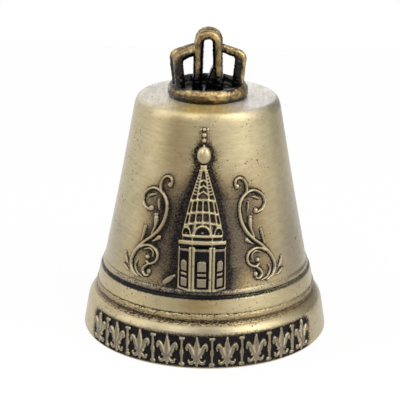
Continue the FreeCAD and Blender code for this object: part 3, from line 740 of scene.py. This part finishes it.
class Nodes:
    """Short ways to add and link shader nodes, in a new material or the world."""

    def __init__(self, name, world=False):
        self.owner = (bpy.data.worlds if world else bpy.data.materials).new(name)
        self.owner.use_nodes = True
        self.tree = self.owner.node_tree
        self.shader = self.tree.nodes["Background" if world else "Principled BSDF"]

    def add(self, kind, inputs=None, **settings):
        node = self.tree.nodes.new(kind)
        for key, value in settings.items():
            setattr(node, key, value)
        for key, value in (inputs or {}).items():
            self.put(node.inputs[key], value)
        return node

    def put(self, socket, value):
        if isinstance(value, bpy.types.NodeSocket):
            self.tree.links.new(value, socket)
        else:
            socket.default_value = value

    def math(self, operation, a, b):
        return self.add("ShaderNodeMath", {0: a, 1: b}, operation=operation).outputs[0]

    def noise(self, coords, scale, detail=3.0, roughness=0.5):
        node = self.add("ShaderNodeTexNoise", {"Vector": coords, "Scale": scale, "Detail": detail,
                                               "Roughness": roughness})
        return node.outputs["Fac"]

    def stretched(self, coords, x, y, z):
        return self.add("ShaderNodeMapping", {"Vector": coords, "Scale": (x, y, z)}).outputs["Vector"]

    def steps(self, value, *stops):
        """A colour ramp from (place, colour) stops."""
        node = self.add("ShaderNodeValToRGB", {"Fac": value})
        marks = node.color_ramp.elements
        while len(marks) < len(stops):
            marks.new(0.5)
        for mark, (place, colour) in zip(marks, stops):
            mark.position = place
            mark.color = (*colour, 1)
        return node.outputs["Color"]

    def mix(self, share, a, b, blend="MIX"):
        node = self.add("ShaderNodeMix", data_type="RGBA", blend_type=blend)
        self.put(node.inputs[0], share)
        self.put(node.inputs[6], a if isinstance(a, bpy.types.NodeSocket) else (*a, 1))
        self.put(node.inputs[7], b if isinstance(b, bpy.types.NodeSocket) else (*b, 1))
        return node.outputs[2]

    def total(self, base, *shares):
        """A value plus shares of others, each given as (value, share)."""
        for value, share in shares:
            base = self.math("ADD", base, self.math("MULTIPLY", value, share))
        return base

    def centred(self, noise):
        return self.math("SUBTRACT", noise, 0.5)

    def rise(self, value, start, end, top=1.0):
        """0 up to a start, and a top value from an end on."""
        return self.steps(value, (start, grey(0)), (end, grey(top)))

    def shaded(self, tone, noise, darkest, lightest):
        """A tone with a noise's dark and light in it, each given as (place, level)."""
        levels = self.steps(noise, *((place, grey(level)) for place, level in (darkest, lightest)))
        return self.mix(1.0, tone, levels, "MULTIPLY")

    def bump(self, height, strength, distance, below=None):
        inputs = {"Height": height, "Strength": strength, "Distance": distance}
        if below:
            inputs["Normal"] = below
        return self.add("ShaderNodeBump", inputs).outputs["Normal"]

    def attribute(self, name):
        return self.add("ShaderNodeAttribute", attribute_name=name).outputs["Fac"]

    def place(self):
        return self.add("ShaderNodeTexCoord").outputs["Object"]


def grey(value):
    return (value, value, value)


BRASS = (0.53, 0.45, 0.27)
BRASS_WARM = (0.34, 0.248, 0.115)
# dull grey of worn relief, also used as painted shade on the lower flanks and the lip's top
BRASS_WORN_AND_SHADED = (0.2, 0.17, 0.13)
# the top plate's pale colour is partly a painted reflection of the white room, and its gold a painted
# reflection of the crown's rim
PLATE_BRASS = (0.84, 0.8, 0.73)
PLATE_GOLD = (0.56, 0.42, 0.17)
BRASS_BROWN = (0.1, 0.064, 0.03)
PATINA = (0.008, 0.006, 0.006)
CROWN_BRASS = (0.5, 0.358, 0.145)
CROWN_BROWN = (0.11, 0.066, 0.024)
INSIDE_DARK, INSIDE_LIGHT = (0.1, 0.075, 0.045), (0.24, 0.18, 0.1)
STEEL_DARK, STEEL_LIGHT = (0.42, 0.41, 0.37), (0.6, 0.59, 0.55)
CLAPPER_BROWN, CLAPPER_BRASS = (0.2, 0.14, 0.07), (0.42, 0.33, 0.18)


def brushed_brass():
    """Outside of the shell: brushed antique brass, black in the hollows, bright where it stands proud."""
    n = Nodes("brushed_brass")
    at = n.place()
    lines = n.noise(n.stretched(at, 60, 60, 5200), 1.0, 4.0, 0.6)
    fine = n.noise(n.stretched(at, 200, 200, 14000), 1.0, 2.0, 0.5)
    cloud = n.noise(at, 90.0, 3.0, 0.55)
    grain = n.noise(at, 3200.0, 2.0, 0.6)
    patina, raised, warmth, plate = (n.attribute(a) for a in ("patina", "raised", "warmth", "plate"))
    tone = n.mix(n.math("MULTIPLY", n.rise(cloud, 0.35, 0.75), 0.35), BRASS, BRASS_WARM)
    # warmth: browner in the relief's patina halo and in the cove, and painted shade on the waist and band
    # towards the room's dim side
    tone = n.mix(n.rise(warmth, 0.0, 0.45), tone, BRASS_WARM)
    tone = n.mix(n.rise(warmth, 0.45, 1.0, 0.9), tone, BRASS_BROWN)
    # raised: duller on worn relief and the upper bead, and painted shade on the lower flanks and the lip's
    # top; on the frieze, dull faces against a painted highlight on the edges
    tone = n.mix(raised, tone, BRASS_WORN_AND_SHADED)
    golden = n.total(n.attribute("golden"), (n.centred(cloud), 0.8))
    # the top plate: pale, partly a painted reflection of the white room, and golden at the front as a painted
    # reflection of the crown's rim
    tone = n.mix(plate, tone, n.mix(golden, PLATE_BRASS, PLATE_GOLD))
    tone = n.shaded(tone, lines, (0.3, 0.92), (0.7, 1.06))
    mottle = n.noise(n.stretched(at, 500, 500, 1500), 1.0, 3.0, 0.6)
    tone = n.shaded(tone, mottle, (0.35, 0.9), (0.65, 1.06))
    strokes = n.noise(n.stretched(at, 1900, 160, 160), 1.0, 2.0, 0.5)
    tone = n.mix(plate, tone, n.shaded(tone, strokes, (0.4, 0.9), (0.62, 1.05)))
    worn = n.rise(n.total(patina, (n.centred(grain), 0.8)), 0.22, 0.64)
    pits = n.rise(n.noise(at, 1900.0, 1.0, 0.5), 0.675, 0.725, 0.85)
    pits = n.math("MULTIPLY", pits, n.rise(cloud, 0.45, 0.6))
    dark = n.math("MAXIMUM", worn, pits)
    n.put(n.shader.inputs["Base Color"], n.mix(dark, tone, PATINA))
    n.shader.inputs["Metallic"].default_value = 1.0
    n.put(n.shader.inputs["Roughness"], n.total(0.34, (plate, 0.1), (lines, 0.12), (dark, 0.25)))
    n.shader.inputs["Anisotropic"].default_value = 0.6
    n.shader.inputs["Anisotropic Rotation"].default_value = 0.25
    round_axis = n.add("ShaderNodeTangent", direction_type="RADIAL", axis="Z")
    n.put(n.shader.inputs["Tangent"], round_axis.outputs[0])
    n.shader.inputs["Coat Weight"].default_value = 0.25
    n.shader.inputs["Coat Roughness"].default_value = 0.2
    dents = n.noise(n.stretched(at, 1, 1, 0.6), 2600.0, 2.0, 0.5)
    normal = n.bump(dents, n.attribute("hammer"), 0.00012)
    normal = n.bump(lines, 0.15, 0.00003, normal)
    normal = n.bump(fine, 0.12, 0.00002, normal)
    normal = n.bump(grain, n.total(0.08, (patina, 0.6)), 0.00008, normal)
    n.put(n.shader.inputs["Normal"], normal)
    return n.owner


def cast_inside():
    """Inside of the shell: dull brown, as it was cast."""
    n = Nodes("cast_inside")
    at = n.place()
    cloud = n.noise(at, 140.0, 4.0, 0.6)
    grain = n.noise(at, 1500.0, 3.0, 0.6)
    n.put(n.shader.inputs["Base Color"], n.steps(cloud, (0.3, INSIDE_DARK), (0.75, INSIDE_LIGHT)))
    n.shader.inputs["Metallic"].default_value = 0.9
    n.put(n.shader.inputs["Roughness"], n.total(0.5, (cloud, 0.2)))
    n.put(n.shader.inputs["Normal"], n.bump(grain, 0.5, 0.00012))
    return n.owner


def rough_brass():
    """Crown: golden brown, unpolished, black with patina and painted shade in its recesses, low down and on
    faces turned in or sideways.
    """
    n = Nodes("rough_brass")
    at = n.place()
    # painted shade: ambient occlusion darkens the crown's colour in its recesses
    open_sky = n.add("ShaderNodeAmbientOcclusion", {"Distance": 4.5 * MM}, samples=16).outputs["AO"]
    grain = n.noise(at, 1400.0, 4.0, 0.65)
    blotch = n.noise(at, 420.0, 3.0, 0.6)
    tone = n.mix(n.rise(blotch, 0.35, 0.7), CROWN_BROWN, CROWN_BRASS)
    lit_and_worn = n.total(open_sky, (n.centred(grain), 0.6), (n.attribute("patina_and_shade"), -0.56),
                     (n.centred(blotch), 0.5))
    n.put(n.shader.inputs["Base Color"], n.mix(n.rise(lit_and_worn, 0.45, 0.85), PATINA, tone))
    n.shader.inputs["Metallic"].default_value = 1.0
    n.put(n.shader.inputs["Roughness"], n.total(0.2, (grain, 0.3)))
    n.shader.inputs["Coat Weight"].default_value = 0.5
    n.shader.inputs["Coat Roughness"].default_value = 0.15
    n.put(n.shader.inputs["Normal"], n.bump(grain, 0.55, 0.00014))
    return n.owner


def plated_steel():
    """Washer, nut, eye bolt and ring."""
    n = Nodes("plated_steel")
    at = n.place()
    cloud = n.noise(at, 500.0, 3.0, 0.6)
    n.put(n.shader.inputs["Base Color"], n.steps(cloud, (0.3, STEEL_DARK), (0.7, STEEL_LIGHT)))
    n.shader.inputs["Metallic"].default_value = 1.0
    n.put(n.shader.inputs["Roughness"], n.total(0.25, (cloud, 0.2)))
    n.put(n.shader.inputs["Normal"], n.bump(n.noise(at, 2500.0), 0.2, 0.00005))
    return n.owner


def clapper_brass():
    """Rod and ball: turned brass gone brown."""
    n = Nodes("clapper_brass")
    at = n.place()
    turned = n.noise(n.stretched(at, 120, 120, 4000), 1.0, 3.0, 0.5)
    blotch = n.noise(at, 260.0, 4.0, 0.6)
    tone = n.mix(n.rise(blotch, 0.35, 0.7), CLAPPER_BROWN, CLAPPER_BRASS)
    n.put(n.shader.inputs["Base Color"], tone)
    n.shader.inputs["Metallic"].default_value = 1.0
    n.put(n.shader.inputs["Roughness"], n.total(0.3, (blotch, 0.25)))
    n.put(n.shader.inputs["Normal"], n.bump(turned, 0.25, 0.00004))
    return n.owner


# ---------------------------------------------------------------- floor, light and camera

# dark sides of the room, which the bell mirrors: azimuth from the front, where each begins and is full, level
DIM_SIDES = ((-36, 44, 12, 0.4), (137, 34, 14, 0.3))


def dim_side(n, way, azimuth, begins, full, level):
    """1, falling to a level towards this azimuth, at every height."""
    a = math.radians(azimuth)
    flat = n.add("ShaderNodeVectorMath", {0: way, 1: (1, 1, 0)}, operation="MULTIPLY").outputs["Vector"]
    flat = n.add("ShaderNodeVectorMath", {0: flat}, operation="NORMALIZE").outputs["Vector"]
    toward = n.add("ShaderNodeVectorMath", {0: flat, 1: (math.sin(a), -math.cos(a), 0)},
                   operation="DOT_PRODUCT").outputs["Value"]
    return n.add("ShaderNodeMapRange", {"Value": toward, "From Min": math.cos(math.radians(begins)),
                                        "From Max": math.cos(math.radians(full)), "To Min": 1.0,
                                        "To Max": level}, interpolation_type="SMOOTHSTEP").outputs[0]


FLOOR_HALF = 0.24


def white_floor():
    """A white floor that keeps the bell's shadow. The camera and the brass see it nearly plain white."""
    floor = bpy.data.meshes.new("floor")
    corners = ((-1, -1), (1, -1), (1, 1), (-1, 1))
    floor.from_pydata([(x * FLOOR_HALF, y * FLOOR_HALF, 0) for x, y in corners], [], [(0, 1, 2, 3)])
    n = Nodes("floor_white")
    n.shader.inputs["Base Color"].default_value = (0.85, 0.85, 0.85, 1)
    n.shader.inputs["Roughness"].default_value = 0.8
    white = n.add("ShaderNodeEmission", {"Color": (1, 1, 1, 1), "Strength": 1.0})
    path = n.add("ShaderNodeLightPath").outputs
    seen = n.math("MAXIMUM", path["Is Camera Ray"], path["Is Glossy Ray"])
    both = n.add("ShaderNodeMixShader", {0: n.math("MULTIPLY", seen, 0.93)})
    n.put(both.inputs[1], n.shader.outputs[0])
    n.put(both.inputs[2], white.outputs[0])
    n.put(n.tree.nodes["Material Output"].inputs["Surface"], both.outputs[0])
    floor.materials.append(n.owner)
    new_object("floor", floor)


def room():
    """A pale room with dim sides, which shows in the brass. The camera sees it plain white."""
    n = Nodes("studio", world=True)
    bpy.context.scene.world = n.owner
    n.shader.inputs["Color"].default_value = (1, 1, 1, 1)
    path = n.add("ShaderNodeLightPath").outputs
    seen = n.math("MAXIMUM", path["Is Camera Ray"], path["Is Glossy Ray"])
    level = n.add("ShaderNodeMapRange", {"Value": seen, "To Min": 0.7, "To Max": 1.0}).outputs[0]
    way = n.add("ShaderNodeTexCoord").outputs["Generated"]
    sides = n.math("MULTIPLY", *(dim_side(n, way, *side) for side in DIM_SIDES))
    up = n.add("ShaderNodeSeparateXYZ", {0: way}).outputs["Z"]
    high = n.add("ShaderNodeMapRange", {"Value": up, "From Min": 0.45, "From Max": 0.85},
                 interpolation_type="SMOOTHSTEP").outputs[0]
    sides = n.math("MAXIMUM", n.math("MAXIMUM", sides, high), path["Is Camera Ray"])
    n.put(n.shader.inputs["Strength"], n.math("MULTIPLY", sides, level))


LOOK = Vector((0, 0, 25 * MM))
LAMP_DISTANCE = 0.6
LAMPS = (                          # name, azimuth, elevation, width, height, power
    ("right", 64, 34, 0.36, 0.55, 0.95), ("left", -74, 34, 0.36, 0.55, 0.85),
    ("top_left", -28, 48, 0.24, 0.4, 0.95), ("top_right", 46, 48, 0.3, 0.4, 0.9),
)


def place_round(piece, azimuth, elevation, distance):
    """Puts a piece this far from the bell. Azimuth 0 is the front, positive to the right."""
    a, e = math.radians(azimuth), math.radians(elevation)
    piece.location = LOOK + distance * Vector((math.cos(e) * math.sin(a), -math.cos(e) * math.cos(a),
                                               math.sin(e)))
    bpy.context.collection.objects.link(piece)
    return (LOOK - piece.location).to_track_quat("-Z", "Y")


def lamp(name, azimuth, elevation, wide, high, power):
    """A soft box aimed at the bell."""
    light = bpy.data.lights.new(name, "AREA")
    light.shape = "RECTANGLE"
    light.size, light.size_y = wide, high
    light.energy = power
    piece = bpy.data.objects.new(name, light)
    piece.rotation_euler = place_round(piece, azimuth, elevation, LAMP_DISTANCE).to_euler()


CAMERA_AZIMUTH, CAMERA_ELEVATION, CAMERA_DISTANCE = 2.0, 18.94, 0.3484
CAMERA_LENS, CAMERA_ROLL = 154.0, 0.8
CAMERA_SHIFT = -0.0155, 0.0164


def camera():
    data = bpy.data.cameras.new("camera")
    data.lens = CAMERA_LENS
    data.sensor_width = 36
    data.shift_x, data.shift_y = CAMERA_SHIFT
    data.clip_start = 0.01
    piece = bpy.data.objects.new("camera", data)
    aim = place_round(piece, CAMERA_AZIMUTH, CAMERA_ELEVATION, CAMERA_DISTANCE).to_matrix()
    piece.rotation_euler = (aim @ Matrix.Rotation(math.radians(CAMERA_ROLL), 3, "Z")).to_euler()
    bpy.context.scene.camera = piece


# ---------------------------------------------------------------- put together

camera()
white_floor()
room()
for settings in LAMPS:
    lamp(*settings)
bpy.context.scene.view_settings.view_transform = "Standard"

shell = build_shell()
shell.data.materials.append(brushed_brass())
shell.data.materials.append(cast_inside())
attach(shell, "bell")
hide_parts("bell_shell")

crown = build_crown()
crown.data.materials.clear()
crown.data.materials.append(rough_brass())
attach(crown, "bell")
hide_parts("crown")

for finish, names in ((plated_steel(), ("washer", "lock_nut", "eye_bolt", "jump_ring")),
                      (clapper_brass(), ("clapper_rod", "clapper_ball"))):
    for name in names:
        nodes[name].data.materials.clear()
        nodes[name].data.materials.append(finish)
